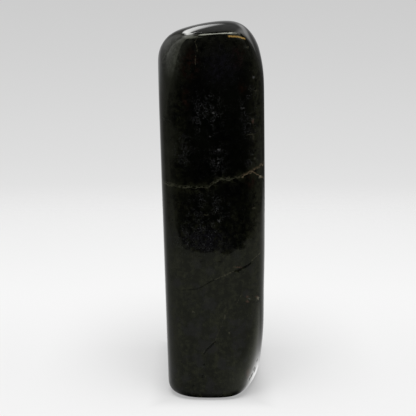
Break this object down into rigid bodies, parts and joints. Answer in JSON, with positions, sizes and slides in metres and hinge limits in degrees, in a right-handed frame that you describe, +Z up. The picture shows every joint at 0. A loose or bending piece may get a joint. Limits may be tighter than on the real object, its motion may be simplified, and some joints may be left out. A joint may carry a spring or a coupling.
{
  "type": "labradorite freeform",
  "caption": "Tall polished block of near-black labradorite, standing on its flat foot, with rounded edges and a sloping facet across the top.",
  "frame": {"origin": "under the middle of the stone's bounding box, on the surface that it stands on", "axes": "+Z up along the stone's height, +X to the right of the narrow polished face, which looks along -Y"},
  "size_m": [0.0538, 0.084, 0.188],
  "materials": {
    "polished_stone": "mirror polish, near-black with an olive tint, pale flecks and tan healed cracks"
  },
  "bodies": {
    "root": {"stone": "polished_stone"}
  },
  "joints": []
}
